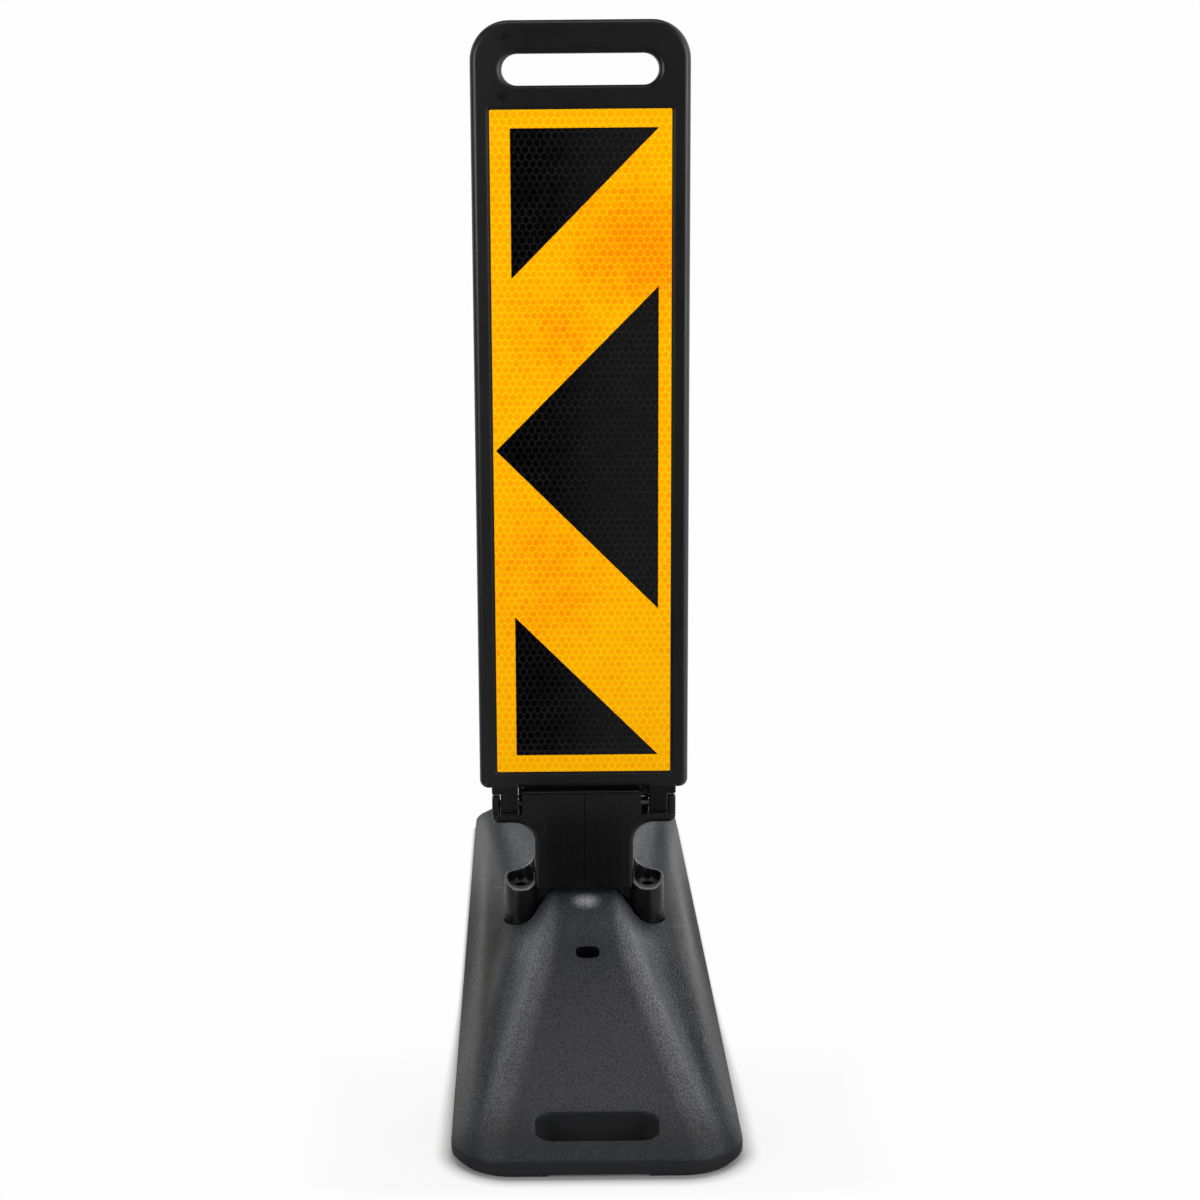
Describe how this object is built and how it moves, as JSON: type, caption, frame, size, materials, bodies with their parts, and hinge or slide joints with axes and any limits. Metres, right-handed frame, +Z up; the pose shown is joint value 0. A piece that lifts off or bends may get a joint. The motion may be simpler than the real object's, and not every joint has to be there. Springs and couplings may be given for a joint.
{
  "type": "flexible delineator post",
  "caption": "Self-righting road marker: a carry-handled chevron panel on a sprung hinge, bolted to a long low ramped rubber base.",
  "frame": {"origin": "middle of the base's underside, on the ground", "axes": "+X across the base to the right of the sheeting, +Y along the base away from the sheeting's face, +Z up"},
  "size_m": [0.224, 0.908, 0.8635],
  "materials": {
    "base_rubber": "moulded, fine leather grain, satin",
    "bracket_plastic": "moulded, satin",
    "panel_plastic": "moulded, satin",
    "amber_sheeting": "glossy, sealed honeycomb cells",
    "black_film": "glossy overlay film",
    "plated_steel": "zinc plated",
    "pin_steel": "blackened, oiled",
    "spring_steel": "oil-tempered wire",
    "insert_brass": "plain"
  },
  "bodies": {
    "stand": {"base": "base_rubber", "backing_plate": "plated_steel", "bracket_bolts": "plated_steel", "lock_washers": "plated_steel", "boss_inserts": "insert_brass", "bracket": "bracket_plastic", "hinge_pin": "pin_steel", "return_spring_left": "spring_steel", "return_spring_right": "spring_steel"},
    "marker": {"panel": "panel_plastic", "reflective_sheet": "amber_sheeting", "chevron_top": "black_film", "chevron_middle": "black_film", "chevron_bottom": "black_film"}
  },
  "joints": [
    {"name": "panel_hinge", "type": "hinge", "parent": "stand", "child": "marker", "pos_m": [0, 0, 0.1552], "axis": [1, 0, 0], "range_deg": [-90, 90], "stiffness_Nm_per_rad": 12.5, "deforming": ["return_spring_left", "return_spring_right"]}
  ]
}
